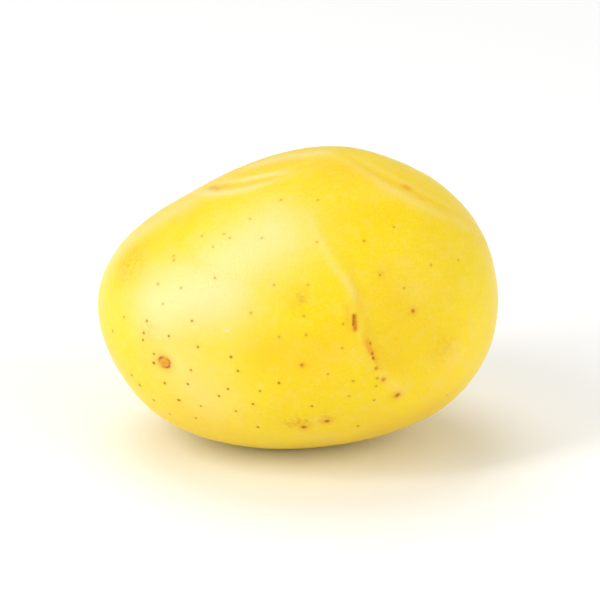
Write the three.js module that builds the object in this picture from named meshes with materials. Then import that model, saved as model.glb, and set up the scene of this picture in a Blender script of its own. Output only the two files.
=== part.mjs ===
// A yellow-skinned potato lying on a table, in millimetres, +Z up.
// The tuber grew as one piece, so it is one closed solid: a full, slightly bent egg with a few broad
// swells, eyes under their brows, and the round scar where the stolon held it.
// It is formed along its own axis, with the heel at -X and the rose end at +X, and then laid down.
import * as THREE from "three";
import { mergeVertices } from "three/addons/utils/BufferGeometryUtils.js";

// The tuber before its swells: a superellipsoid that is fuller towards the rose end.
const LENGTH = 81.8;
const WIDTH = 67.5;
const HEIGHT = 59.4;
const FULLNESS = 2.08; // 2 gives a plain ellipsoid, and more fills out its shoulders
const ROSE_END_GAIN = 0.02; // how much wider the rose half is than the heel half

// How it lies: the rose end is raised, and the bottom is pressed to a small flat spot.
const REST_TILT = 7.4; // degrees
const FLAT_DEPTH = 0.9;
const FLAT_BLEND = 1.6;

// Broad swells and hollows: the place on the tuber, the rise, and the reach from that place.
const SWELLS = [
  { name: "rose end belly", at: [29, -6, -19], rise: 2.2, reach: 19 },
  { name: "heel shoulder", at: [-20, 8, 23], rise: -2.8, reach: 18 },
  { name: "heel underside", at: [-37, -6, -8], rise: -1.2, reach: 11 },
  { name: "crown", at: [13, 8, 27], rise: 0.7, reach: 11 },
  { name: "resting belly", at: [5, 0, -29], rise: 0.4, reach: 12 },
  { name: "hollow past the front brow", at: [21, -29, 0], rise: -0.9, reach: 9 },
  { name: "swell under the front brow", at: [10, -31, -7], rise: 0.6, reach: 8 },
];

// The stolon scar at the heel, a round corky plug in a shallow dimple. along is the distance from the
// middle towards +X. round is the angle about the long axis, 0 at the top and 90 on the front.
const SCAR = { along: -25.5, round: 91.6, radius: 1.3, plug: 0.25, dimple: 0.5, reach: 4.0 };

// Eyes. half is half the length of the brow, bow how far its ends curl away from the heel, rise the
// height of the brow, drop the distance over which it falls into the pocket ahead of it, and pocket the
// depth of that hollow. A brow lies square to the way from the heel, and turn leans it, in degrees.
const EYES = [
  { name: "front", along: 14.9, round: 88, turn: 14.5, half: 14,
    bow: 2.8, rise: 0.5, drop: 1.4, pocket: 0.6 },
  { name: "front crease", along: 9.4, round: 54, turn: 2, half: 9,
    bow: 1, rise: 0.15, drop: 1.4, pocket: 0.15 },
  { name: "crown right", along: 25.4, round: 19, turn: 38, half: 14,
    bow: 6.2, rise: 0.25, drop: 2.6, pocket: 0.35 },
  { name: "crown left", along: -9.2, round: 12.6, turn: 13, half: 10,
    bow: 5.1, rise: 0.25, drop: 2.2, pocket: 0.35 },
  { name: "rose tip", along: 27, round: 275, turn: 0, half: 6,
    bow: 1.8, rise: 0.4, drop: 1.6, pocket: 0.8 },
  { name: "rose upper", along: 13, round: 308, turn: 12, half: 8,
    bow: 2.6, rise: 0.4, drop: 2.0, pocket: 0.6 },
  { name: "rose lower", along: 20, round: 238, turn: -14, half: 9,
    bow: 3.2, rise: 0.35, drop: 2.2, pocket: 0.6 },
  { name: "back", along: -7, round: 268, turn: 5, half: 11,
    bow: 2.0, rise: 0.5, drop: 1.6, pocket: 0.8 },
  { name: "heel back", along: -27, round: 318, turn: -12, half: 8,
    bow: 1.6, rise: 0.3, drop: 2.0, pocket: 0.5 },
  { name: "underside", along: -21, round: 226, turn: 16, half: 9,
    bow: 2.4, rise: 0.35, drop: 1.8, pocket: 0.6 },
  { name: "rose underside", along: 27, round: 186, turn: -8, half: 8,
    bow: 2.2, rise: 0.35, drop: 1.8, pocket: 0.6 },
];
const BROW_BACK = 6.0; // the brow fades out over this distance on its heel side
const POCKET_REACH = 5.5; // the pocket closes over this distance from the brow
const BROW_END = 3; // how suddenly a brow ends
const PLUG_RIM = 6; // how sharp the rim of the scar's plug is

// Facets: an even sphere of triangles, split further near the eyes and the scar until no edge there is
// longer than FINE_EDGE.
const SPHERE_DETAIL = 14;
const FINE_EDGE = 1.4;
const FINE_REACH = 4.0;
const FINE_SHARE = 1.2; // of the way from a brow's middle to its end
const FINE_ROUNDS = 2;

const SKIN_COLOUR = 0xf0c93a;
const SKIN_ROUGHNESS = 0.5;

const AXIS_Y = new THREE.Vector3(0, 1, 0);
const bump = (distance, reach) => Math.exp(-((distance / reach) ** 2));

// The tuber's surface without eyes, for a direction from its middle: the point and the normal there.
function body(direction) {
  const { x, y, z } = direction;
  const sum = Math.abs(x) ** FULLNESS + Math.abs(y) ** FULLNESS + Math.abs(z) ** FULLNESS;
  const full = sum ** (-1 / FULLNESS);
  const gain = 1 + ROSE_END_GAIN * x * full;
  const point = new THREE.Vector3(
    (x * full * LENGTH) / 2,
    (y * full * gain * WIDTH) / 2,
    (z * full * gain * HEIGHT) / 2,
  );
  const normal = new THREE.Vector3(
    point.x / LENGTH ** 2,
    point.y / WIDTH ** 2,
    point.z / HEIGHT ** 2,
  ).normalize();
  let rise = 0;
  for (const swell of SWELLS) {
    rise += swell.rise * bump(point.distanceTo(new THREE.Vector3(...swell.at)), swell.reach);
  }
  return { point: point.addScaledVector(normal, rise), normal };
}

// The direction of a place given by its distance along the tuber and its angle round it.
function towards({ along, round }) {
  const x = (2 * along) / LENGTH;
  const ring = Math.sqrt(1 - x * x);
  const angle = THREE.MathUtils.degToRad(round);
  return new THREE.Vector3(x, -ring * Math.sin(angle), ring * Math.cos(angle));
}

const HEEL = body(towards(SCAR)).point;

// A flat frame that touches the tuber at a place: ahead points away from the heel, across along a brow.
function frameAt(place) {
  const { point, normal } = body(towards(place));
  const ahead = point.clone().sub(HEEL).projectOnPlane(normal).normalize();
  ahead.applyAxisAngle(normal, THREE.MathUtils.degToRad(place.turn));
  const across = new THREE.Vector3().crossVectors(normal, ahead);
  return { ...place, point, normal, ahead, across };
}

// How far past an eye's brow line a point lies, and its share of the way to the brow's end.
function fromBrow(point, eye) {
  const offset = point.clone().sub(eye.point);
  const share = offset.dot(eye.across) / eye.half;
  const past = offset.dot(eye.ahead) - eye.bow * (share * share - 0.5);
  return { share, past, near: offset.length() < 2 * eye.half };
}

// Height of an eye at a point: a brow curled towards the rose end, and the pocket that it shelters.
function eyeRelief(point, eye) {
  const { share, past, near } = fromBrow(point, eye);
  if (!near) return 0;
  const fade = Math.exp(-(Math.abs(share) ** BROW_END));
  const brow = past < 0 ? bump(past, BROW_BACK) : bump(past, eye.drop);
  const pocket = past < 0 ? 0 : bump(past, POCKET_REACH) - bump(past, eye.drop);
  return fade * (eye.rise * brow - eye.pocket * pocket);
}

// Height of the stolon scar: a dimple with a low plug that has a sharp rim.
function scarRelief(point) {
  const away = point.distanceTo(HEEL);
  return -SCAR.dimple * bump(away, SCAR.reach) + SCAR.plug * Math.exp(-((away / SCAR.radius) ** PLUG_RIM));
}

const eyes = EYES.map(frameAt);

// The finished surface in a direction, still on the tuber's own axis.
function skin(direction) {
  const { point, normal } = body(direction);
  const rise = eyes.reduce((sum, eye) => sum + eyeRelief(point, eye), scarRelief(point));
  return point.addScaledVector(normal, rise);
}

// Splits every edge that isn't fine enough, so that neighbours still share whole edges.
function split(directions, triangles, tooLong) {
  const middles = new Map();
  const middle = (a, b) => {
    const key = a < b ? `${a},${b}` : `${b},${a}`;
    if (!middles.has(key)) {
      const between = directions[a].clone().add(directions[b]).normalize();
      const long = tooLong(directions[a], directions[b], between);
      middles.set(key, long ? directions.push(between) - 1 : -1);
    }
    return middles.get(key);
  };
  return triangles.flatMap(([a, b, c]) => {
    // Turned so that the cut edges come first.
    let corners = [a, b, c];
    let cuts = [middle(a, b), middle(b, c), middle(c, a)];
    for (let turn = 0; turn < 2 && (cuts[0] < 0 || (cuts[1] < 0 && cuts[2] >= 0)); turn++) {
      corners = [corners[1], corners[2], corners[0]];
      cuts = [cuts[1], cuts[2], cuts[0]];
    }
    const [p, q, r] = corners;
    const [pq, qr, rp] = cuts;
    if (pq < 0) return [[p, q, r]];
    if (qr < 0) return [[p, pq, r], [pq, q, r]];
    if (rp < 0) return [[p, pq, r], [pq, qr, r], [pq, q, qr]];
    return [[p, pq, rp], [pq, q, qr], [rp, qr, r], [pq, qr, rp]];
  });
}

// An even sphere of directions, finer near the eyes and the scar.
function sphere() {
  const round = new THREE.IcosahedronGeometry(1, SPHERE_DETAIL);
  round.deleteAttribute("normal");
  round.deleteAttribute("uv");
  const even = mergeVertices(round, 1e-5);
  const position = even.getAttribute("position");
  const directions = Array.from({ length: position.count }, (_, i) =>
    new THREE.Vector3().fromBufferAttribute(position, i).normalize(),
  );
  const index = Array.from(even.getIndex().array);
  let triangles = Array.from({ length: index.length / 3 }, (_, i) => index.slice(3 * i, 3 * i + 3));
  const nearMark = (point) =>
    point.distanceTo(HEEL) < FINE_REACH ||
    eyes.some((eye) => {
      const { share, past, near } = fromBrow(point, eye);
      return near && Math.abs(share) < FINE_SHARE && Math.abs(past) < FINE_REACH;
    });
  for (let i = 0; i < FINE_ROUNDS; i++) {
    triangles = split(directions, triangles, (a, b, between) => {
      const long = body(a).point.distanceTo(body(b).point) > FINE_EDGE;
      return long && nearMark(body(between).point);
    });
  }
  return { directions, triangles };
}

// Lays the points down as the tuber rests, and presses the lowest ones to a flat spot at height 0.
function layDown(points) {
  for (const point of points) {
    point.applyAxisAngle(AXIS_Y, THREE.MathUtils.degToRad(-REST_TILT));
  }
  const floor = Math.min(...points.map((point) => point.z)) + FLAT_DEPTH;
  for (const point of points) {
    const height = Math.max(point.z - floor, 0);
    const blended = (height ** 2 * (2 * FLAT_BLEND - height)) / FLAT_BLEND ** 2;
    point.z = height < FLAT_BLEND ? blended : height;
  }
}

function potato() {
  const { directions, triangles } = sphere();
  const points = directions.map(skin);
  layDown(points);
  const geometry = new THREE.BufferGeometry().setFromPoints(points);
  geometry.setIndex(triangles.flat());
  geometry.computeBoundingBox();
  const middle = geometry.boundingBox.getCenter(new THREE.Vector3());
  geometry.translate(-middle.x, -middle.y, 0);
  geometry.computeVertexNormals();
  const material = new THREE.MeshStandardMaterial({
    color: SKIN_COLOUR,
    roughness: SKIN_ROUGHNESS,
    metalness: 0,
  });
  const mesh = new THREE.Mesh(geometry, material);
  mesh.name = "potato";
  return mesh;
}

const part = new THREE.Group();
part.add(potato());

export default part;
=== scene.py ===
import math
import random

import bmesh
import bpy
from bpy.props import FloatProperty, FloatVectorProperty, IntProperty, PointerProperty
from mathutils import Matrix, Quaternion, Vector, geometry, noise
from mathutils.bvhtree import BVHTree
from mathutils.kdtree import KDTree


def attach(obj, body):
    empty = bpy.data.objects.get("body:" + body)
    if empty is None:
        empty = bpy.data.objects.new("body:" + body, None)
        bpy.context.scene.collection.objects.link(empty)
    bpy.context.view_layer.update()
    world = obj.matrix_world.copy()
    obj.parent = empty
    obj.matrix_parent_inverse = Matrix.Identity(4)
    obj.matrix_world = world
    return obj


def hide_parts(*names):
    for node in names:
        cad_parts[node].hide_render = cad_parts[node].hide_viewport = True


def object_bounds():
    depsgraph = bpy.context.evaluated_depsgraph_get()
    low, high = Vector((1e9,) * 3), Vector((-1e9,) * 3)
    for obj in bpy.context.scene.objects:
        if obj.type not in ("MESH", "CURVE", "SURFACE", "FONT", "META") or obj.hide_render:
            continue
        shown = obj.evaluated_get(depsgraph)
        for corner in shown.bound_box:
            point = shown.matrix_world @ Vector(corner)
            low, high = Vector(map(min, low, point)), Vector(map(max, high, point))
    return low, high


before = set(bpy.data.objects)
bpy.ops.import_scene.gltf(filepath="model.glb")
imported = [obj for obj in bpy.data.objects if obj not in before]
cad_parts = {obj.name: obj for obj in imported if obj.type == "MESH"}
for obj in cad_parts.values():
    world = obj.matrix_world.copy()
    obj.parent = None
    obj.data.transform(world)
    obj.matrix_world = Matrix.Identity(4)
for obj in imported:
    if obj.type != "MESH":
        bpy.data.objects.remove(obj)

CAD_LOW, CAD_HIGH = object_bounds()

bl_info = {
    "name": "Yellow Potato",
    "version": (1, 0, 0),
    "blender": (4, 5, 0),
    "location": "View3D > Sidebar > Potato",
    "description": "Grows a yellow-skinned potato and lays it on a pale studio floor",
    "category": "Object",
}

# The tuber is worked out in millimetres, on its own axis, and scaled to metres when it is laid down.
MM = 0.001
FULLNESS = 2.08  # 2 gives an ellipsoid, and more a fuller form
ROSE_END_GAIN = 0.02  # how much wider than the middle the rose end is, as a share
FLAT_DEPTH = 0.9  # how much of the underside the flat spot takes off
FLAT_BLEND = 1.6  # the height over which the flat spot blends into the round skin

# Broad swells and hollows: the place on the tuber, the rise, and the reach from that place.
SWELLS = [
    {"name": "rose end belly", "at": (29, -6, -19), "rise": 2.2, "reach": 19},
    {"name": "heel shoulder", "at": (-20, 8, 23), "rise": -2.8, "reach": 18},
    {"name": "heel underside", "at": (-37, -6, -8), "rise": -1.2, "reach": 11},
    {"name": "crown", "at": (13, 8, 27), "rise": 0.7, "reach": 11},
    {"name": "resting belly", "at": (5, 0, -29), "rise": 0.4, "reach": 12},
    {"name": "hollow past the front brow", "at": (21, -29, 0), "rise": -0.9, "reach": 9},
    {"name": "swell under the front brow", "at": (10, -31, -7), "rise": 0.6, "reach": 8},
]

# The stolon scar at the heel. along is the distance from the middle towards +X, and round the angle
# about the long axis in degrees, 0 at the top and 90 on the front. The scar's mark reaches from its
# middle as far as stretch says, both ways along the tuber.
SCAR = {"along": -25.5, "round": 91.6, "radius": 1.3, "stretch": 0.2, "plug": 0.25, "dimple": 0.5,
        "reach": 4.0}
PLUG_RIM = 6  # how steeply the plug falls at its rim
PLUG_CRACK = {"depth": 0.14, "at": 0.8, "reach": 0.25}  # at is a share of the plug's radius

# Eyes: half is half the length of the brow, bow how far its ends curl away from the heel, rise its
# height, drop the distance over which it falls into the pocket ahead of it, pocket the depth of that
# hollow, lip how much of a low lip closes it, pale how strong the painted highlight is along the brow's
# crest and on its lip, bed how amber the buds' bed is, which on the front eye is painted shade just past
# the brow, and turn the eye's lean in degrees. bed_at is where the bed is, along the brow and past it.
EYES = [
    # The front eye's amber bed is painted shade: the orange-brown crescent just past its brow.
    {"name": "front", "along": 14.9, "round": 88, "turn": 14.5, "half": 14, "bow": 2.8,
     "rise": 0.5, "drop": 1.4, "pocket": 0.6, "lip": 0, "pale_and_highlight": 0.1, "bed": 0.9, "bed_at": (-2.0, 0.1)},
    {"name": "front crease", "along": 9.4, "round": 54, "turn": 2, "half": 9, "bow": 1,
     "rise": 0.15, "drop": 1.4, "pocket": 0.15, "lip": 0, "pale_and_highlight": 0.3, "bed": 0, "bed_at": (0, 0.7)},
    {"name": "crown right", "along": 25.4, "round": 19, "turn": 38, "half": 14, "bow": 6.2,
     "rise": 0.25, "drop": 2.6, "pocket": 0.35, "lip": 0.9, "pale_and_highlight": 0.45, "bed": 0, "bed_at": (0, 1.3)},
    {"name": "crown left", "along": -9.2, "round": 12.6, "turn": 13, "half": 10, "bow": 5.1,
     "rise": 0.25, "drop": 2.2, "pocket": 0.35, "lip": 1, "pale_and_highlight": 0.8, "bed": 0, "bed_at": (0, 1.1)},
    {"name": "rose tip", "along": 27, "round": 275, "turn": 0, "half": 6, "bow": 1.8,
     "rise": 0.4, "drop": 1.6, "pocket": 0.8, "lip": 0.6, "pale_and_highlight": 0.5, "bed": 1, "bed_at": (0, 0.8)},
    {"name": "rose upper", "along": 13, "round": 308, "turn": 12, "half": 8, "bow": 2.6,
     "rise": 0.4, "drop": 2.0, "pocket": 0.6, "lip": 0.4, "pale_and_highlight": 0.5, "bed": 0.8, "bed_at": (0, 1.0)},
    {"name": "rose lower", "along": 20, "round": 238, "turn": -14, "half": 9, "bow": 3.2,
     "rise": 0.35, "drop": 2.2, "pocket": 0.6, "lip": 0.6, "pale_and_highlight": 0.5, "bed": 0.8, "bed_at": (0, 1.1)},
    {"name": "back", "along": -7, "round": 268, "turn": 5, "half": 11, "bow": 2.0,
     "rise": 0.5, "drop": 1.6, "pocket": 0.8, "lip": 0.3, "pale_and_highlight": 0.5, "bed": 1, "bed_at": (0, 0.8)},
    {"name": "heel back", "along": -27, "round": 318, "turn": -12, "half": 8, "bow": 1.6,
     "rise": 0.3, "drop": 2.0, "pocket": 0.5, "lip": 0.4, "pale_and_highlight": 0.5, "bed": 0.7, "bed_at": (0, 1.0)},
    {"name": "underside", "along": -21, "round": 226, "turn": 16, "half": 9, "bow": 2.4,
     "rise": 0.35, "drop": 1.8, "pocket": 0.6, "lip": 0.5, "pale_and_highlight": 0.5, "bed": 0.8, "bed_at": (0, 0.9)},
    {"name": "rose underside", "along": 27, "round": 186, "turn": -8, "half": 8, "bow": 2.2,
     "rise": 0.35, "drop": 1.8, "pocket": 0.6, "lip": 0.5, "pale_and_highlight": 0.5, "bed": 0.8, "bed_at": (0, 0.9)},
]
HIDDEN_EYES = 4  # the eyes from this one on are out of the photograph's sight
BROW_END = 3  # how sharply an eye fades at the ends of its brow
BROW_BACK = 6.0  # the brow fades out over this distance on its heel side
POCKET_REACH = 5.5  # the pocket closes over this distance from the brow
BED = {"along": 3.2, "edge": 0.25, "ahead": 1.1}  # how far a bed fades each way; its heel side is crisp
LIP = {"past": 5.2, "rise": 0.14, "reach": 0.9}  # the low far lip of a pocket
LIP_HIGHLIGHT = 0.7  # how strong the painted highlight on a lip is, as a share of its brow's
CREST_HIGHLIGHT = {"past": -0.3, "reach": 0.65}  # the painted highlight, a pale line along a brow's crest; its reach is a share of the drop
POCKET_SHADE = {"past": 1.4, "reach": 0.6}  # painted shade: the deeper yellow in a pocket, in shares of the drop
FULL_POCKET_SHADE = 0.625  # a pocket of this depth has the full painted shade of deeper yellow

# Marks on the skin: radius of the mark, the low rim round it, the pit in its middle, the layer that
# colours it, how far out its dark ring lies as a share of the radius, how strong its amber halo is, and
# how far that goes as a share of the radius.
MARKS = {
    "lenticel": {"radius": 0.27, "rim": 0.03, "pit": 0.06, "layer": "lenticel", "ring": 0, "halo": 0.2,
                 "spread": 1.8},
    "large lenticel": {"radius": 0.38, "rim": 0.05, "pit": 0.12, "layer": "cork", "ring": 0, "halo": 0.7,
                       "spread": 2.2},
    "speck": {"radius": 0.28, "rim": 0.04, "pit": 0.05, "layer": "cork", "ring": 0, "halo": 0.3,
              "spread": 2.2},
    "slit": {"radius": 0.42, "rim": 0, "pit": 0.14, "layer": "cork", "ring": 0, "halo": 1.0,
             "spread": 1.5},
    "crack": {"radius": 0.17, "rim": 0, "pit": 0.04, "layer": "cork", "ring": 0, "halo": 0, "spread": 1},
    "scar": {"radius": SCAR["radius"], "rim": 0, "pit": 0, "layer": "cork", "ring": 0.8, "halo": 0.9,
             "spread": 1.25},
    # A tiny whitish speck, laid on the pale layer.
    "white_speck": {"radius": 0.3, "rim": 0, "pit": 0.03, "layer": "pale_and_highlight", "ring": 0, "halo": 0, "spread": 1},
}
RING_WIDTH = 0.18  # of a ring, as a share of the radius
RING_INSIDE = 0.25  # how dark it is inside a ring
RING_DARK = 0.9  # how dark a ring is
RING_BREAKS = 0.8  # how much a ring's darkness changes along it
SPOT_EDGE = 4  # how crisp a spot's edge is
RING_EDGE = 8  # how crisp the edge of a ring's inside is
RIM_REACH = 1.5  # of the rim round a mark, as a share of its radius
PIT_REACH = 0.7  # of the pit in its middle

# The photograph's frame in pixels, and the width of the camera's sensor in millimetres.
PHOTO_SIDE = 600
SENSOR_WIDTH = 36
GRAZING = 0.1  # skin that faces the camera less than this counts as out of sight

# Marks that the photograph shows, where they stand in its frame. Within a group they differ a little.
SEEN_DARK = (0.8, 1.1)
SEEN_SIZE = (0.9, 1.1)
SEEN_LENTICELS = {
    "upper left": {"dark": 0.5, "size": 1.0, "places": [
        (250, 219), (202, 236), (230, 238), (224, 234), (262, 238), (213, 247), (281, 200)]},
    "above the front eye": {"dark": 0.45, "size": 1.0, "places": [
        (317, 242), (364, 241), (318, 200), (394, 227), (343, 324)]},
    "left": {"dark": 0.6, "size": 1.0, "places": [
        (174, 256), (174, 260), (215, 278), (158, 284), (181, 288), (163, 304), (124, 317)]},
    "middle": {"dark": 0.4, "size": 1.0, "places": [
        (274, 285), (308, 285), (251, 313), (304, 316), (279, 337), (306, 335), (342, 348)]},
    "beside the scar": {"dark": 0.9, "size": 1.0, "places": [
        (147, 321), (192, 321), (113, 331), (144, 333), (143, 340), (169, 336)]},
    "right of the scar": {"dark": 0.85, "size": 1.0, "places": [
        (198, 347), (231, 357), (238, 371), (191, 370), (188, 384), (154, 354)]},
    "under the scar": {"dark": 1.0, "size": 1.25, "places": [
        (154, 363), (132, 375), (165, 383), (140, 385), (154, 400), (179, 400)]},
    "low left": {"dark": 0.85, "size": 0.95, "places": [
        (201, 406), (228, 389), (219, 396), (236, 411), (170, 414), (196, 418), (260, 391)]},
    "low middle": {"dark": 1.0, "size": 1.05, "places": [
        (279, 383), (253, 404), (312, 406), (258, 427), (358, 426)]},
    "under the front eye": {"dark": 0.55, "size": 1.0, "places": [
        (353, 381), (349, 396), (374, 400), (377, 378), (376, 386), (328, 374)]},
    "right": {"dark": 0.55, "size": 1.0, "places": [
        (380, 275), (404, 288), (431, 265), (458, 260), (447, 395)]},
}
SEEN_LARGE_LENTICELS = {
    "low": {"dark": 1.0, "size": 1.45, "places": [(397, 395), (327, 421), (304, 427)]},
    "high": {"dark": 0.7, "size": 0.9, "places": [(302, 365), (413, 311), (383, 379)]},
}
SEEN_SPECKS = {"front eye": {"dark": 0.9, "size": 1.3, "places": [
    (370, 343), (372, 353), (373, 358), (376, 368)]}}
SEEN_LONG_MARKS = [
    {"kind": "slit", "dark": 0.45, "ends": [(354, 316), (355, 329)]},
    {"kind": "crack", "dark": 1.0, "ends": [(353.5, 315), (353, 325)]},
    {"kind": "white_speck", "dark": 1.0, "ends": [(226, 331), (229, 330)]},
]

# Brownish patches in the skin: the ends in the photograph's pixels and the reach in millimetres.
SEEN_RUSSET = {
    "left shoulder": {"ends": [(131, 262), (131, 262)], "reach": 4.5, "strength": 0.5},
    "middle": {"ends": [(300, 299), (300, 299)], "reach": 2.0, "strength": 0.5},
    "low, left part": {"ends": [(294, 423), (302, 422)], "reach": 1.8, "strength": 0.8},
    "low, right part": {"ends": [(325, 419), (325, 419)], "reach": 2.0, "strength": 0.5},
    "right": {"ends": [(444, 350), (444, 350)], "reach": 3.0, "strength": 0.35},
    "over the front eye": {"ends": [(380, 274), (380, 274)], "reach": 1.4, "strength": 0.3},
    "beside the scar": {"ends": [(147, 330), (147, 330)], "reach": 2.0, "strength": 0.3},
}

# Amber tints, given in the same way: the beds of the buds that the photograph shows.
SEEN_AMBER = {
    "crown left, left part": {"ends": [(210, 187), (219, 189)], "reach": 0.7, "strength": 0.6},
    "crown left, right part": {"ends": [(219, 189), (226, 185)], "reach": 0.6, "strength": 0.35},
    "crown right, bud": {"ends": [(406, 187), (408, 188)], "reach": 0.9, "strength": 0.8},
    "crown right": {"ends": [(409, 189), (423, 199)], "reach": 0.6, "strength": 0.2},
    # The two front parts are painted shade: the orange-brown crescent just past the front brow, round its
    # buds.
    "front, upper part": {"ends": [(366, 342), (371, 352)], "reach": 0.8, "strength": 1},
    "front, lower part": {"ends": [(373, 358), (378, 368)], "reach": 0.5, "strength": 0.9},
    "beside the slit": {"ends": [(347, 308), (350, 328)], "reach": 0.9, "strength": 0.35},
}

# Painted highlights, given in the same way: pale patches where the soft light's gloss lies on the flank,
# the heel, the shoulder and the crown, and pale lines of highlight on the crown left eye's far lip and
# along the front brow.
SEEN_HIGHLIGHTS = {
    "flank, low part": {"ends": [(160, 302), (218, 291)], "reach": 8, "strength": 0.8},
    "flank, high part": {"ends": [(225, 265), (270, 235)], "reach": 8, "strength": 0.7},
    "heel": {"ends": [(172, 355), (205, 395)], "reach": 8, "strength": 0.32},
    "shoulder": {"ends": [(118, 252), (185, 205)], "reach": 4.5, "strength": 0.35},
    "crown": {"ends": [(255, 165), (320, 153)], "reach": 2.5, "strength": 0.5},
    "crown left, far lip": {"ends": [(246, 180), (284, 173)], "reach": 0.9, "strength": 0.6},
    "front brow, upper part": {"ends": [(346, 276), (355, 298)], "reach": 0.9, "strength": 0.15},
    "front brow, lower part": {"ends": [(382, 375), (399, 390)], "reach": 0.7, "strength": 0.25},
}

# Painted shade, given in the same way: patches of deeper yellow where less light falls, in the middle,
# along the crown, past the front eye and low under the rose end by the floor.
SEEN_SHADE = {
    "middle": {"ends": [(262, 352), (325, 350)], "reach": 4.5, "strength": 0.8},
    "crown": {"ends": [(335, 168), (445, 212)], "reach": 4.5, "strength": 0.7},
    "past the front eye": {"ends": [(392, 300), (395, 370)], "reach": 4.5, "strength": 0.6},
    "under the rose end": {"ends": [(380, 428), (440, 404)], "reach": 4, "strength": 0.7},
}

# The layer that each kind of patch is painted on.
SEEN_PATCHES = {"russet": SEEN_RUSSET, "amber": SEEN_AMBER, "pale_and_highlight": SEEN_HIGHLIGHTS, "deep_and_shade": SEEN_SHADE}

# Buds out of sight: places along the brow, the distance ahead of it, and how dark they are.
BUD_STEPS = (-1.4, 0.1, 1.1)
BUD_AHEAD = (0.8, 1.8)
BUD_DARK = 0.9

# Lenticels and corky patches out of sight, strewn by draws between two limits.
KEPT_MIDDLE = 0.75  # the share of the drawn lenticels that is kept at the tuber's middle
KEPT_HEEL = 0.4  # how much more of them is kept at the heel, and less at the rose end
LENTICEL_GAP = 2.4  # no two are closer than this
LARGE_SHARE = 0.07  # the share of them that is large
HIDDEN_DARK = (0.4, 1.0)
HIDDEN_SIZE = (0.85, 1.15)
PATCH_REACH = (1.5, 4.5)
PATCH_STRENGTH = (0.3, 0.7)
PATCH_END = 3  # every patch ends at this many times its reach

# Skin relief finer than the eyes: the size of the waves and their height.
WAVES = [{"size": 7.0, "height": 0.10}, {"size": 2.6, "height": 0.03}]

# Mesh: the levels of the coarse and the fine sphere, and near an eye and near a mark the longest edge
# that is left and how far from it that goes.
COARSE_LEVEL = 5
FINE_LEVEL = 7
EYE_EDGE = 0.5
EYE_REACH = 3.0
EYE_SHARE = 1.2  # fine edges go on past the brow's end to this share of its half length
MARK_EDGE = 0.25
MARK_REACH = 0.75

# Layers of numbers on the skin's points, which the material turns to colour. The pale layer holds painted
# highlights and a whitish speck, the brow layer the painted highlight along the eyes' crests and lips, and
# the deep layer painted shade. The amber layer holds the halos and the buds' beds, and painted shade just
# past the front brow.
LAYERS = ("pale_and_highlight", "brow", "deep_and_shade", "amber", "russet", "lenticel", "cork")

# Coats of colour, from the lowest up, in the colours of the skin's settings. A coat with a layer is laid
# on only where that layer is painted. A noise pattern, whose size is the length of its waves in
# millimetres, changes how strong a coat is: least where the noise is below low, most above high.
GRAIN = {"size": 0.75, "detail": 3, "roughness": 0.6}
COATS = [
    {"colour": "deep_and_shade", "noise": {"size": 16}, "low": 0.42, "high": 0.7, "least": 0, "most": 0.35},
    {"colour": "deep_and_shade", "noise": {"size": 4.5}, "low": 0.5, "high": 0.75, "least": 0, "most": 0.2},
    {"colour": "pale_and_highlight", "noise": {"size": 9}, "low": 0.55, "high": 0.8, "least": 0, "most": 0.18},
    {"colour": "pale_and_highlight", "noise": {"size": 2.2, "detail": 1},
     "low": 0.5, "high": 0.75, "least": 0, "most": 0.1},
    {"colour": "deep_and_shade", "noise": GRAIN, "low": 0.45, "high": 0.75, "least": 0, "most": 0.25},
    {"colour": "pale_and_highlight", "noise": {"size": 0.55, "detail": 1},
     "low": 0.5, "high": 0.8, "least": 0, "most": 0.1},
    # Painted highlights: the pale patches where the gloss lies, and the pale lines along the eyes' crests
    # and lips.
    {"colour": "pale_and_highlight", "layer": "pale_and_highlight", "most": 1},
    {"colour": "pale_and_highlight", "layer": "brow", "most": 0.8},
    # Painted shade: deeper yellow in the eyes' pockets and where less light falls.
    {"colour": "deep_and_shade", "layer": "deep_and_shade", "most": 0.6},
    # Amber, which just past the front brow is painted shade.
    {"colour": "amber", "layer": "amber", "most": 1},
    {"colour": "russet", "layer": "russet", "noise": {"size": 1.1, "detail": 4, "roughness": 0.7},
     "low": 0.4, "high": 0.66, "least": 0, "most": 1},
    {"colour": "lenticel", "layer": "lenticel", "most": 1},
    {"colour": "cork", "layer": "cork", "noise": {"size": 0.6},
     "low": 0.35, "high": 0.6, "least": 0.65, "most": 1},
]

# How the roughness changes over the skin, from less to more than the setting, and how much rougher cork
# and lenticels are.
GLOSS = {"noise": {"size": 3}, "low": 0.3, "high": 0.7, "least": -0.04, "most": 0.04}
DULL = 0.3

# The skin's grain is about 0.8 mm, as on the real one, with a share of a finer one in it. It is shallow.
FINE_GRAIN = {"size": 0.4, "detail": 1}
FINE_SHARE = 0.7
GRAIN_DEPTH = 0.14

# Light goes a little way into the moist flesh, the red in it furthest: the share that does, how far, and
# how far each of its colours goes as a share of that.
GLOW = 0.05
GLOW_DEPTH = 1.5
GLOW_COLOURS = (1.0, 0.55, 0.12)
SKIN_IOR = 1.32

# Where a Mix node takes its factor and its two colours, and where it gives its result.
MIX_FACTOR = 0
MIX_UNDER = 6
MIX_OVER = 7
MIX_RESULT = 2

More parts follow.
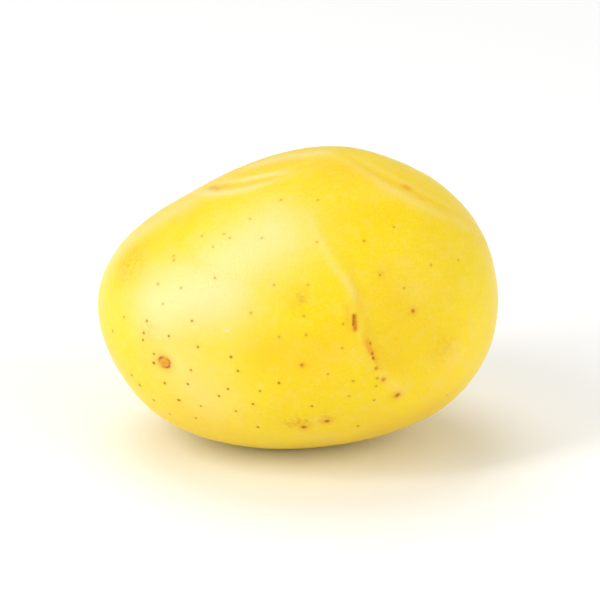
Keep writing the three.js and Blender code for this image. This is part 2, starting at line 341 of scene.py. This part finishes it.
# Lights: azimuth to the right of the viewer and height above the floor in degrees, how far away in
# metres, share of the key power, and whether the gloss mirrors the light. shape holds the settings of
# its kind of light: the key is a tall narrow panel, and the others fill a wide angle and light the whole
# floor evenly.
LAMPS = {
    "key": {"kind": "AREA", "azimuth": -64, "height": 31, "away": 0.9, "share": 1.87,
            "shape": {"shape": "RECTANGLE", "size": 0.2, "size_y": 0.9}, "mirrored": True},
    "fill": {"kind": "SUN", "azimuth": 62, "height": 22, "away": 1.3, "share": 0.43,
             "shape": {"angle": math.radians(50)}, "mirrored": True},
    "top": {"kind": "SUN", "azimuth": -155, "height": 64, "away": 1.0, "share": 0.36,
            "shape": {"angle": math.radians(40)}, "mirrored": False},
}

# The floor is a round matte board, whose radius is in metres.
FLOOR_RADIUS = 3.0
FLOOR_SEGMENTS = 96
BOARD_ROUGHNESS = 0.9
BOARD_IOR = 1.2
CLIP_START = 0.01  # the camera sees nothing closer than this


def linear(hex_colour):
    """The linear red, green and blue of an sRGB hex colour."""
    channels = [int(hex_colour[i:i + 2], 16) / 255 for i in (1, 3, 5)]
    return [c / 12.92 if c <= 0.04045 else ((c + 0.055) / 1.055) ** 2.4 for c in channels]


def rgba(colour):
    """A colour setting with the alpha that a node's socket wants."""
    return (*colour, 1.0)


def bump(distance, reach):
    """A smooth hill: 1 at distance 0, and little left past its reach."""
    return math.exp(-((distance / reach) ** 2))


def towards_camera(elevation):
    """The way to the camera, which looks along +Y and down, from what it looks at."""
    return Vector((0, -math.cos(elevation), math.sin(elevation)))


def add_node(tree, kind, settings=None, links=None):
    """Adds a node, gives it its settings, and joins its inputs to other nodes' outputs."""
    made = tree.nodes.new(kind)
    for name, value in (settings or {}).items():
        if isinstance(name, str) and hasattr(made, name):
            setattr(made, name, value)
        else:
            made.inputs[name].default_value = value
    for name, output in (links or {}).items():
        tree.links.new(output, made.inputs[name])
    return made


class TuberSettings(bpy.types.PropertyGroup):
    length: FloatProperty(
        name="Length", description="Length of the tuber along its own axis",
        default=0.0818, min=0.03, max=0.2, unit="LENGTH")
    width: FloatProperty(
        name="Width", description="Width of the tuber, level and across its axis",
        default=0.0675, min=0.03, max=0.2, unit="LENGTH")
    height: FloatProperty(
        name="Height", description="Thickness of the tuber",
        default=0.0594, min=0.03, max=0.2, unit="LENGTH")
    rest_tilt: FloatProperty(
        name="Rest tilt", description="How far the rose end is raised as the tuber lies",
        default=math.radians(7.4), min=0, max=math.radians(30), subtype="ANGLE")
    hidden_lenticels: IntProperty(
        name="Hidden lenticels", description="Lenticels on the sides that the photograph doesn't show",
        default=170, min=0, max=400)
    hidden_patches: IntProperty(
        name="Hidden patches", description="Corky patches on the sides that the photograph doesn't show",
        default=8, min=0, max=30)
    seed: IntProperty(
        name="Seed", description="Seed of the hidden lenticels' and patches' places",
        default=7, min=0)


class SkinSettings(bpy.types.PropertyGroup):
    skin: FloatVectorProperty(
        name="Skin", description="Main colour of the skin",
        default=linear("#f4d610"), min=0, max=1, subtype="COLOR")
    # Deeper yellow: the skin's own mottling, and painted shade in the eyes' pockets and where less light
    # falls.
    deep_and_shade: FloatVectorProperty(
        name="Deep skin", description="Deeper yellow of the mottling and the eyes' pockets",
        default=linear("#f0c208"), min=0, max=1, subtype="COLOR")
    # Paler yellow: the skin's own pale mottling, and painted highlights on the flank and along the eyes'
    # crests and lips.
    pale_and_highlight: FloatVectorProperty(
        name="Pale skin", description="Paler yellow of the brows and stretched skin",
        default=linear("#f6e3a0"), min=0, max=1, subtype="COLOR")
    # Amber: the halos of the scar and lenticels and the buds' beds, and painted shade just past the front
    # brow.
    amber: FloatVectorProperty(
        name="Amber", description="Orange tint round the scar, the buds and the larger lenticels",
        default=linear("#e89c00"), min=0, max=1, subtype="COLOR")
    russet: FloatVectorProperty(
        name="Russet", description="Brownish patches of thicker cork",
        default=linear("#cc8000"), min=0, max=1, subtype="COLOR")
    cork: FloatVectorProperty(
        name="Cork", description="Stolon scar and buds",
        default=linear("#984a00"), min=0, max=1, subtype="COLOR")
    lenticel: FloatVectorProperty(
        name="Lenticel", description="Breathing spots of the skin",
        default=linear("#8c5c00"), min=0, max=1, subtype="COLOR")
    roughness: FloatProperty(
        name="Roughness", description="Roughness of the washed skin",
        default=0.34, min=0, max=1, subtype="FACTOR")


class StageSettings(bpy.types.PropertyGroup):
    elevation: FloatProperty(
        name="Camera elevation", description="How far the camera looks down",
        default=math.radians(20), min=0, max=math.radians(90), subtype="ANGLE")
    distance: FloatProperty(
        name="Camera distance", description="From the camera to the middle of the tuber",
        default=0.461, min=0.1, max=3, unit="LENGTH")
    lens: FloatProperty(
        name="Lens", description="Focal length of the camera",
        default=135, min=20, max=400, unit="CAMERA")
    aim: FloatVectorProperty(
        name="Aim", description="The point that the camera looks at",
        default=(0.00049, -0.00034, 0.02887), subtype="XYZ", unit="LENGTH")
    key_power: FloatProperty(
        name="Key power", description="Power of the soft light at the upper left",
        default=2.6, min=0, unit="POWER")
    sky: FloatProperty(
        name="Sky", description="Strength of the white studio all round",
        default=0.5, min=0)
    floor: FloatVectorProperty(
        name="Floor", description="Colour of the floor",
        default=linear("#fafaf9"), min=0, max=1, subtype="COLOR")


class Tuber:
    """The potato's surface on its own axis, in millimetres: heel at -X, rose end at +X."""

    def __init__(self, settings):
        self.length = settings.length / MM
        self.width = settings.width / MM
        self.height = settings.height / MM
        self.turn = Quaternion((0, 1, 0), -settings.rest_tilt)
        self.floor = None
        self.shift = None
        self.heel = self.body(self.towards(SCAR))[0]
        self.eyes = [self.frame_at(eye) for eye in EYES]

    def body(self, direction):
        """The surface without eyes in a direction from the middle: the point and the normal there."""
        x, y, z = direction
        total = abs(x) ** FULLNESS + abs(y) ** FULLNESS + abs(z) ** FULLNESS
        full = total ** (-1 / FULLNESS)
        gain = 1 + ROSE_END_GAIN * x * full
        point = Vector((
            x * full * self.length / 2,
            y * full * gain * self.width / 2,
            z * full * gain * self.height / 2,
        ))
        normal = Vector((
            point.x / self.length ** 2,
            point.y / self.width ** 2,
            point.z / self.height ** 2,
        )).normalized()
        rise = 0.0
        for swell in SWELLS:
            rise += swell["rise"] * bump((point - Vector(swell["at"])).length, swell["reach"])
        return point + normal * rise, normal

    def towards(self, place):
        """The direction of a place given by its distance along the tuber and its angle round it."""
        x = 2 * place["along"] / self.length
        ring = math.sqrt(1 - x * x)
        angle = math.radians(place["round"])
        return Vector((x, -ring * math.sin(angle), ring * math.cos(angle)))

    def frame_at(self, eye):
        """The eye with its point on the tuber, and the ways ahead from the heel and across."""
        point, normal = self.body(self.towards(eye))
        ahead = point - self.heel
        ahead = (ahead - normal * ahead.dot(normal)).normalized()
        ahead = Quaternion(normal, math.radians(eye["turn"])) @ ahead
        return {**eye, "point": point, "normal": normal, "ahead": ahead, "across": normal.cross(ahead)}

    def from_brow(self, point, eye):
        """The share of the way to the brow's end and how far past the brow line, or None far off."""
        offset = point - eye["point"]
        if offset.length > 2 * eye["half"]:
            return None
        share = offset.dot(eye["across"]) / eye["half"]
        past = offset.dot(eye["ahead"]) - eye["bow"] * (share * share - 0.5)
        return share, past

    def direction_of(self, point):
        """About the direction that leads to a point on the tuber."""
        gain = 1 + ROSE_END_GAIN * 2 * point.x / self.length
        return Vector((
            point.x / self.length,
            point.y / gain / self.width,
            point.z / gain / self.height,
        )).normalized()

    def near_eye(self, point):
        """Whether a point is close enough to a brow, or to the scar, to need finer edges."""
        if (point - self.heel).length < EYE_REACH:
            return True
        for eye in self.eyes:
            place = self.from_brow(point, eye)
            if place and abs(place[0]) < EYE_SHARE and abs(place[1]) < EYE_REACH:
                return True
        return False

    def eyes_at(self, point):
        """Height that the eyes give a point, its painted pocket shade and crest highlight, and its bed."""
        rise = 0.0
        hollow = 0.0
        crest_highlight = 0.0
        bed = 0.0
        for eye in self.eyes:
            place = self.from_brow(point, eye)
            if not place:
                continue
            share, past = place
            drop = eye["drop"]
            fade = math.exp(-abs(share) ** BROW_END)
            brow = bump(past, BROW_BACK if past < 0 else drop)
            pocket = 0 if past < 0 else bump(past, POCKET_REACH) - bump(past, drop)
            lip = eye["lip"] * fade * bump(past - LIP["past"], LIP["reach"])
            rise += fade * (eye["rise"] * brow - eye["pocket"] * pocket) + LIP["rise"] * lip
            # Painted shade: deeper yellow in the pocket ahead of the brow.
            deep_and_shade = fade * min(1, (eye["pocket"] / FULL_POCKET_SHADE) ** 2)
            hollow = max(hollow, deep_and_shade * bump(past - POCKET_SHADE["past"] * drop, POCKET_SHADE["reach"] * drop))
            # Painted highlight: a pale line along the brow's crest and on its lip.
            ridge = fade * bump(past - CREST_HIGHLIGHT["past"], CREST_HIGHLIGHT["reach"] * drop)
            crest_highlight = max(crest_highlight, eye["pale_and_highlight"] * ridge, eye["pale_and_highlight"] * LIP_HIGHLIGHT * lip)
            aside = share * eye["half"] - eye["bed_at"][0]
            beyond = past - eye["bed_at"][1]
            amber = bump(aside, BED["along"]) * bump(beyond, BED["edge"] if beyond < 0 else BED["ahead"])
            bed = max(bed, eye["bed"] * amber)
        return rise, hollow, crest_highlight, bed

    def scar_at(self, point):
        """Height of the stolon scar: a dimple with a low plug that has a sharp, cracked rim."""
        away = (point - self.heel).length
        plug = SCAR["plug"] * math.exp(-((away / SCAR["radius"]) ** PLUG_RIM))
        crack = PLUG_CRACK["depth"] * bump(away - PLUG_CRACK["at"] * SCAR["radius"], PLUG_CRACK["reach"])
        return plug - crack - SCAR["dimple"] * bump(away, SCAR["reach"])

    def skin(self, direction):
        """The finished surface in a direction, its normal, painted pocket shade, crest highlight and bed.
        """
        point, normal = self.body(direction)
        rise, hollow, crest_highlight, bed = self.eyes_at(point)
        rise += self.scar_at(point)
        for wave in WAVES:
            rise += wave["height"] * noise.noise(point / wave["size"])
        return point + normal * rise, normal, hollow, crest_highlight, bed

    def lay_down(self, points):
        """Lays the points down as the tuber rests on its flat spot, in metres, in the frame's place.

        The first points, which are those of a coarse copy, settle where the flat spot is and how far
        the tuber is shifted.
        """
        turned = [self.turn @ point for point in points]
        if self.floor is None:
            self.floor = min(point.z for point in turned) + FLAT_DEPTH
        for point in turned:
            height = max(point.z - self.floor, 0)
            blended = height ** 2 * (2 * FLAT_BLEND - height) / FLAT_BLEND ** 2
            point.z = blended if height < FLAT_BLEND else height
        if self.shift is None:
            middle = (CAD_LOW + CAD_HIGH) / 2
            xs = [point.x for point in turned]
            ys = [point.y for point in turned]
            self.shift = Vector((
                middle.x / MM - (min(xs) + max(xs)) / 2,
                middle.y / MM - (min(ys) + max(ys)) / 2,
                CAD_LOW.z / MM,
            ))
        return [(point + self.shift) * MM for point in turned]


class Sight:
    """What the photograph's camera sees of the tuber, worked out on a coarse copy of it."""

    def __init__(self, tuber, stage):
        self.back = towards_camera(stage.elevation)
        self.up = self.back.cross(Vector((1, 0, 0)))
        self.viewpoint = Vector(stage.aim) + self.back * stage.distance
        self.reach = stage.lens / SENSOR_WIDTH * PHOTO_SIDE
        coarse = bmesh.new()
        bmesh.ops.create_icosphere(coarse, subdivisions=COARSE_LEVEL, radius=1)
        self.directions = [vert.co.copy() for vert in coarse.verts]
        self.faces = [[vert.index for vert in face.verts] for face in coarse.faces]
        self.places = tuber.lay_down([tuber.skin(d)[0] for d in self.directions])
        self.tree = BVHTree.FromPolygons(self.places, self.faces)
        coarse.free()

    def direction_at(self, pixel):
        """The direction, from the tuber's middle, of the skin that a pixel of the photograph shows."""
        half = PHOTO_SIDE / 2
        ray = Vector((pixel[0] - half, 0, 0)) + self.up * (half - pixel[1]) - self.back * self.reach
        place, _, index, _ = self.tree.ray_cast(self.viewpoint, ray.normalized())
        if place is None:
            raise RuntimeError(f"the pixel {pixel} misses the tuber")
        corners = [self.places[i] for i in self.faces[index]]
        ways = [self.directions[i] for i in self.faces[index]]
        return geometry.barycentric_transform(place, *corners, *ways).normalized()

    def sees(self, turn, normal):
        """Whether the camera looks well onto skin that has this normal before the tuber's turn."""
        return (turn @ normal).dot(self.back) > GRAZING


def skin_marks(tuber, sight, settings):
    """Every small mark on the skin: its kind, how dark it is, and the directions of its two ends."""
    draw = random.Random(settings.seed)
    seen = [("lenticel", SEEN_LENTICELS), ("large lenticel", SEEN_LARGE_LENTICELS), ("speck", SEEN_SPECKS)]
    marks = []

    def mark(kind, ends, dark=1.0, size=1.0):
        marks.append({"kind": kind, "ends": ends, "dark": dark, "size": size})

    steps = (-SCAR["stretch"], SCAR["stretch"])
    mark("scar", [tuber.towards({**SCAR, "along": SCAR["along"] + step}) for step in steps])
    for long in SEEN_LONG_MARKS:
        mark(long["kind"], [sight.direction_at(pixel) for pixel in long["ends"]], long["dark"])
    for kind, groups in seen:
        for group in groups.values():
            for pixel in group["places"]:
                dark = group["dark"] * draw.uniform(*SEEN_DARK)
                size = group["size"] * draw.uniform(*SEEN_SIZE)
                mark(kind, [sight.direction_at(pixel)] * 2, min(dark, 1), size)
    # The eyes out of sight have their buds in the pocket, close ahead of the brow.
    for eye in tuber.eyes[HIDDEN_EYES:]:
        for step in BUD_STEPS:
            ahead = draw.uniform(*BUD_AHEAD) - eye["bow"] / 2
            point = eye["point"] + eye["ahead"] * ahead + eye["across"] * step
            mark("speck", [tuber.direction_of(point)] * 2, BUD_DARK)
    # Lenticels out of sight are strewn evenly, closer together towards the heel.
    placed = []
    while len(placed) < settings.hidden_lenticels:
        direction = Vector([draw.gauss(0, 1) for _ in range(3)]).normalized()
        point, normal = tuber.body(direction)
        if draw.random() > KEPT_MIDDLE - KEPT_HEEL * direction.x or sight.sees(tuber.turn, normal):
            continue
        if any((point - other).length < LENTICEL_GAP for other in placed):
            continue
        placed.append(point)
        kind = "large lenticel" if draw.random() < LARGE_SHARE else "lenticel"
        mark(kind, [direction] * 2, draw.uniform(*HIDDEN_DARK), draw.uniform(*HIDDEN_SIZE))
    return marks


def refine(bm, tuber, marks):
    """Splits the sphere's edges near the eyes, and twice near the small marks."""
    steps = 4
    tree = KDTree((steps + 1) * len(marks))
    for i, mark in enumerate(marks):
        start, end = mark["ends"]
        for step in range(steps + 1):
            tree.insert(tuber.body(start.lerp(end, step / steps).normalized())[0], i)
    tree.balance()
    for _ in range(2):
        points = {vert: tuber.body(vert.co.normalized())[0] for vert in bm.verts}
        near_mark = {vert: tree.find(point)[2] < MARK_REACH for vert, point in points.items()}
        near_eye = {vert: tuber.near_eye(point) for vert, point in points.items()}
        long = []
        for edge in bm.edges:
            a, b = edge.verts
            length = (points[a] - points[b]).length
            if length > MARK_EDGE and (near_mark[a] or near_mark[b]):
                long.append(edge)
            elif length > EYE_EDGE and (near_eye[a] or near_eye[b]):
                long.append(edge)
        bmesh.ops.subdivide_edges(bm, edges=long, cuts=1, use_grid_fill=True)
        bmesh.ops.triangulate(bm, faces=[face for face in bm.faces if len(face.verts) > 3])


def spot(place, away, radius, ring):
    """How dark a mark is at a distance from its middle, with a dark, broken ring if it has one."""
    if not ring:
        return math.exp(-((away / radius) ** SPOT_EDGE))
    inside = RING_INSIDE * math.exp(-((away / radius) ** RING_EDGE))
    broken = RING_DARK + RING_BREAKS * noise.noise(place / radius)
    return max(inside, broken * bump(away - ring * radius, RING_WIDTH * radius))


def from_segment(place, start, end):
    """How far a place is from the stretch between two points, which may be the same."""
    if start == end:
        return (place - start).length
    nearest, share = geometry.intersect_point_line(place, start, end)
    nearest = start if share < 0 else end if share > 1 else nearest
    return (place - nearest).length


def press_marks(points, normals, marks, tuber, layers):
    """Raises and pits the skin at each small mark, and notes how much of a mark each point is."""
    tree = KDTree(len(points))
    for i, point in enumerate(points):
        tree.insert(point, i)
    tree.balance()
    rises = [0.0] * len(points)
    for mark in marks:
        shape = MARKS[mark["kind"]]
        radius = shape["radius"] * mark["size"]
        layer = layers[shape["layer"]]
        start, end = (tuber.skin(way)[0] for way in mark["ends"])
        spread = shape["spread"] * radius
        reach = (end - start).length / 2 + 2 * max(spread, radius)
        for place, i, _ in tree.find_range((start + end) / 2, reach):
            away = from_segment(place, start, end)
            rises[i] += shape["rim"] * bump(away, RIM_REACH * radius)
            rises[i] -= shape["pit"] * bump(away, PIT_REACH * radius)
            layer[i] = max(layer[i], mark["dark"] * spot(place, away, radius, shape["ring"]))
            halo = shape["halo"] * bump(away, spread)
            layers["amber"][i] = max(layers["amber"][i], halo)
    for point, normal, rise in zip(points, normals, rises):
        point += normal * rise


def seen_patches(patches, sight):
    """Patches that the photograph shows, with the directions of their two ends."""
    return [
        {**patch, "ends": [sight.direction_at(pixel) for pixel in patch["ends"]]}
        for patch in patches.values()
    ]


def hidden_patches(tuber, sight, settings):
    """Corky patches strewn over the sides that the photograph doesn't show."""
    draw = random.Random(settings.seed)
    patches = []
    while len(patches) < settings.hidden_patches:
        direction = Vector([draw.gauss(0, 1) for _ in range(3)]).normalized()
        normal = tuber.body(direction)[1]
        if not sight.sees(tuber.turn, normal):
            reach, strength = draw.uniform(*PATCH_REACH), draw.uniform(*PATCH_STRENGTH)
            patches.append({"ends": [direction] * 2, "reach": reach, "strength": strength})
    return patches


def paint_patches(points, tuber, patches, layer):
    """Notes how much of a patch each of the tuber's points is."""
    for patch in patches:
        start, end = (tuber.body(way)[0] for way in patch["ends"])
        for i, point in enumerate(points):
            away = from_segment(point, start, end)
            if away < PATCH_END * patch["reach"]:
                layer[i] = max(layer[i], patch["strength"] * bump(away, patch["reach"]))


def noise_settings(look):
    """The settings of a noise pattern whose waves are as long, in millimetres, as its size says."""
    return {
        "Scale": 1 / (look["size"] * MM),
        "Detail": look.get("detail", 2),
        "Roughness": look.get("roughness", 0.5),
    }


def skin_material(settings):
    """Periderm, the thin cork skin of a washed yellow potato.

    It is smooth and a little waxy, so it has a broad soft gloss broken by a fine grain. The moist flesh,
    paler than the skin, shows through it, so light goes in a little way and the yellow is warm and full.
    Its colour
    also holds painted light: pale highlights on the flank and along the eyes' crests, and deeper yellow
    shade in the pockets and where less light falls.
    """
    material = bpy.data.materials.new("potato periderm")
    material.use_nodes = True
    tree = material.node_tree
    tree.nodes.clear()
    place = add_node(tree, "ShaderNodeTexCoord").outputs["Object"]
    painted = {
        name: add_node(tree, "ShaderNodeAttribute", {"attribute_name": name}).outputs["Fac"]
        for name in LAYERS
    }

    def blotches(look, base=0.0):
        """Shares that change over the skin as a noise pattern does, from least to most, above a base."""
        waves = add_node(
            tree, "ShaderNodeTexNoise", noise_settings(look["noise"]), {"Vector": place})
        limits = {
            "From Min": look["low"],
            "From Max": look["high"],
            "To Min": base + look["least"],
            "To Max": base + look["most"],
        }
        share = add_node(tree, "ShaderNodeMapRange", limits, {"Value": waves.outputs["Fac"]})
        return share.outputs["Result"]

    # A coat is as strong as its layer times its blotches or, without these, times its most.
    skin = add_node(tree, "ShaderNodeRGB")
    skin.outputs["Color"].default_value = rgba(settings.skin)
    colour = skin.outputs["Color"]
    for coat in COATS:
        times = {"operation": "MULTIPLY", 0: 1, 1: coat["most"]}
        links = {}
        if "layer" in coat:
            links[0] = painted[coat["layer"]]
        if "noise" in coat:
            links[1] = blotches(coat)
        share = add_node(tree, "ShaderNodeMath", times, links)
        coated = add_node(
            tree, "ShaderNodeMix",
            {"data_type": "RGBA", MIX_OVER: rgba(getattr(settings, coat["colour"]))},
            {MIX_FACTOR: share.outputs["Value"], MIX_UNDER: colour})
        colour = coated.outputs[MIX_RESULT]

    dull = add_node(
        tree, "ShaderNodeMath", {"operation": "MAXIMUM"}, {0: painted["cork"], 1: painted["lenticel"]})
    roughness = add_node(
        tree, "ShaderNodeMath", {"operation": "MULTIPLY_ADD", 1: DULL},
        {0: dull.outputs["Value"], 2: blotches(GLOSS, settings.roughness)})
    grain, fine = (
        add_node(tree, "ShaderNodeTexNoise", noise_settings(look), {"Vector": place}).outputs["Fac"]
        for look in (GRAIN, FINE_GRAIN)
    )
    relief = add_node(
        tree, "ShaderNodeMath", {"operation": "MULTIPLY_ADD", 1: FINE_SHARE}, {0: fine, 2: grain})
    bumps = add_node(
        tree, "ShaderNodeBump", {"Strength": 1, "Distance": GRAIN_DEPTH * MM},
        {"Height": relief.outputs["Value"]})
    shader = add_node(
        tree, "ShaderNodeBsdfPrincipled",
        {"IOR": SKIN_IOR, "Subsurface Weight": GLOW, "Subsurface Scale": GLOW_DEPTH * MM,
         "Subsurface Radius": GLOW_COLOURS},
        {"Base Color": colour, "Roughness": roughness.outputs["Value"],
         "Normal": bumps.outputs["Normal"]})
    add_node(tree, "ShaderNodeOutputMaterial", None, {"Surface": shader.outputs["BSDF"]})
    return material


def matte_material(name, colour):
    """Matte painted board, which gives the eye nothing but an even tone."""
    material = bpy.data.materials.new(name)
    material.use_nodes = True
    shader = material.node_tree.nodes["Principled BSDF"]
    shader.inputs["Base Color"].default_value = rgba(colour)
    shader.inputs["Roughness"].default_value = BOARD_ROUGHNESS
    shader.inputs["IOR"].default_value = BOARD_IOR
    return material


def new_piece(bm, name, material):
    """Puts a finished bmesh in the scene as a smooth-shaded object with one material."""
    mesh = bpy.data.meshes.new(name)
    bm.to_mesh(mesh)
    bm.free()
    mesh.shade_smooth()
    mesh.materials.append(material)
    piece = bpy.data.objects.new(name, mesh)
    bpy.context.scene.collection.objects.link(piece)
    return piece


class POTATO_OT_tuber(bpy.types.Operator):
    """Grow the tuber with its eyes, stolon scar, lenticels and skin"""

    bl_idname = "potato.tuber"
    bl_label = "Grow Tuber"
    bl_options = {"REGISTER", "UNDO"}

    def execute(self, context):
        settings = context.scene.potato_tuber
        tuber = Tuber(settings)
        sight = Sight(tuber, context.scene.potato_stage)
        marks = skin_marks(tuber, sight, settings)

        bm = bmesh.new()
        bmesh.ops.create_icosphere(bm, subdivisions=FINE_LEVEL, radius=1)
        refine(bm, tuber, marks)
        bm.verts.ensure_lookup_table()

        layers = {name: [0.0] * len(bm.verts) for name in LAYERS}
        points = []
        normals = []
        for i, vert in enumerate(bm.verts):
            point, normal, hollow, crest_highlight, bed = tuber.skin(vert.co.normalized())
            points.append(point)
            normals.append(normal)
            # Painted shade in the eyes' pockets, painted highlight along their crests and lips, and their
            # amber beds.
            layers["deep_and_shade"][i] = hollow
            layers["brow"][i] = crest_highlight
            layers["amber"][i] = bed
        press_marks(points, normals, marks, tuber, layers)
        for name, patches in SEEN_PATCHES.items():
            paint_patches(points, tuber, seen_patches(patches, sight), layers[name])
        paint_patches(points, tuber, hidden_patches(tuber, sight, settings), layers["russet"])
        places = tuber.lay_down(points)
        for vert, place in zip(bm.verts, places):
            vert.co = place
        for name, values in layers.items():
            painted = bm.verts.layers.float.new(name)
            for vert, value in zip(bm.verts, values):
                vert[painted] = value

        piece = new_piece(bm, "potato_skin", skin_material(context.scene.potato_skin))
        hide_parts("potato")
        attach(piece, "root")
        return {"FINISHED"}


class POTATO_OT_stage(bpy.types.Operator):
    """Set the floor, the soft studio light and the camera round the tuber"""

    bl_idname = "potato.stage"
    bl_label = "Set Stage"
    bl_options = {"REGISTER", "UNDO"}

    def execute(self, context):
        scene = context.scene
        settings = scene.potato_stage
        bm = bmesh.new()
        bmesh.ops.create_circle(bm, cap_ends=True, segments=FLOOR_SEGMENTS, radius=FLOOR_RADIUS)
        bmesh.ops.translate(bm, verts=bm.verts, vec=(0, 0, CAD_LOW.z))
        floor = new_piece(bm, "floor", matte_material("studio floor", settings.floor))

        world = bpy.data.worlds.new("studio")
        world.use_nodes = True
        sky = world.node_tree.nodes["Background"]
        sky.inputs["Color"].default_value = (1, 1, 1, 1)
        sky.inputs["Strength"].default_value = settings.sky
        scene.world = world
        scene.view_settings.view_transform = "Standard"

        aim = Vector(settings.aim)
        for name, lamp in LAMPS.items():
            azimuth, height = map(math.radians, (lamp["azimuth"], lamp["height"]))
            way = Vector((
                math.sin(azimuth) * math.cos(height),
                -math.cos(azimuth) * math.cos(height),
                math.sin(height),
            ))
            light = bpy.data.lights.new(name, lamp["kind"])
            for setting, value in lamp["shape"].items():
                setattr(light, setting, value)
            light.energy = settings.key_power * lamp["share"]
            stand = bpy.data.objects.new(name, light)
            stand.location = aim + way * lamp["away"]
            stand.rotation_euler = way.to_track_quat("Z", "Y").to_euler()
            stand.visible_glossy = lamp["mirrored"]
            scene.collection.objects.link(stand)

        camera = bpy.data.cameras.new("camera")
        camera.lens = settings.lens
        camera.sensor_width = SENSOR_WIDTH
        camera.clip_start = CLIP_START
        stand = bpy.data.objects.new("camera", camera)
        back = towards_camera(settings.elevation)
        stand.location = aim + back * settings.distance
        stand.rotation_euler = back.to_track_quat("Z", "Y").to_euler()
        scene.collection.objects.link(stand)
        scene.camera = stand
        return {"FINISHED"}


class POTATO_PT_panel(bpy.types.Panel):
    """The potato's settings and operators"""

    bl_idname = "POTATO_PT_panel"
    bl_label = "Yellow Potato"
    bl_space_type = "VIEW_3D"
    bl_region_type = "UI"
    bl_category = "Potato"

    def draw(self, context):
        scene = context.scene
        for settings in (scene.potato_tuber, scene.potato_skin, scene.potato_stage):
            box = self.layout.box()
            for name in settings.__annotations__:
                box.prop(settings, name)
        self.layout.operator(POTATO_OT_tuber.bl_idname)
        self.layout.operator(POTATO_OT_stage.bl_idname)


CLASSES = (
    TuberSettings,
    SkinSettings,
    StageSettings,
    POTATO_OT_tuber,
    POTATO_OT_stage,
    POTATO_PT_panel,
)


def register():
    for cls in CLASSES:
        bpy.utils.register_class(cls)
    bpy.types.Scene.potato_tuber = PointerProperty(type=TuberSettings)
    bpy.types.Scene.potato_skin = PointerProperty(type=SkinSettings)
    bpy.types.Scene.potato_stage = PointerProperty(type=StageSettings)


def unregister():
    del bpy.types.Scene.potato_stage
    del bpy.types.Scene.potato_skin
    del bpy.types.Scene.potato_tuber
    for cls in reversed(CLASSES):
        bpy.utils.unregister_class(cls)


def main():
    register()
    bpy.ops.potato.tuber()
    bpy.ops.potato.stage()


if __name__ == "__main__":
    main()
